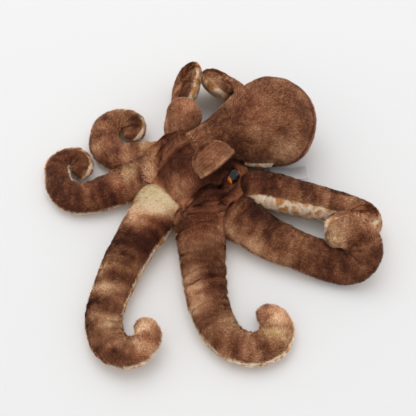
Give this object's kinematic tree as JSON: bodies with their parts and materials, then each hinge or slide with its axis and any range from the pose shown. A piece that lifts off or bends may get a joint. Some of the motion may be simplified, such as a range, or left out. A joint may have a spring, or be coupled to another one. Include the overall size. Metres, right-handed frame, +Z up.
{
  "type": "plush octopus",
  "caption": "Soft stuffed toy octopus lying flat, with a round mantle, raised eye hoods, domed eyes and tapering arms whose ends curl up.",
  "frame": {"origin": "middle of the outline on the table, at the level of the table top", "axes": "+Z up from the table; the octopus faces -Y, its left side is +X, and the mantle lies behind the head toward +Y"},
  "size_m": [0.303, 0.271, 0.0783],
  "materials": {
    "brown_plush": "short velvety pile, mottled brown on top and cream with tan blotches below",
    "tan_plush": "short velvety pile, reddish tan",
    "eye_plastic": "polished dome, amber iris and a broad black bar pupil",
    "label_satin": "thin white satin ribbon, blank"
  },
  "bodies": {
    "root": {"head": "brown_plush", "mantle": "brown_plush", "brow_left": "tan_plush", "eye_left": "eye_plastic", "brow_right": "tan_plush", "eye_right": "eye_plastic", "arm_left_1_base": "brown_plush", "arm_left_1_middle": "brown_plush", "arm_left_1_tip": "brown_plush", "arm_left_2_base": "brown_plush", "arm_left_2_middle": "brown_plush", "arm_left_2_tip": "brown_plush", "arm_left_3_base": "brown_plush", "arm_left_3_middle": "brown_plush", "arm_left_3_tip": "brown_plush", "arm_left_4_base": "brown_plush", "arm_left_4_middle": "brown_plush", "arm_left_4_tip": "brown_plush", "arm_right_1_base": "brown_plush", "arm_right_1_middle": "brown_plush", "arm_right_1_tip": "brown_plush", "arm_right_2_base": "brown_plush", "arm_right_2_middle": "brown_plush", "arm_right_2_tip": "brown_plush", "arm_right_3_base": "brown_plush", "arm_right_3_middle": "brown_plush", "arm_right_3_tip": "brown_plush", "arm_right_4_base": "brown_plush", "arm_right_4_middle": "brown_plush", "arm_right_4_tip": "brown_plush", "label": "label_satin"}
  },
  "joints": []
}
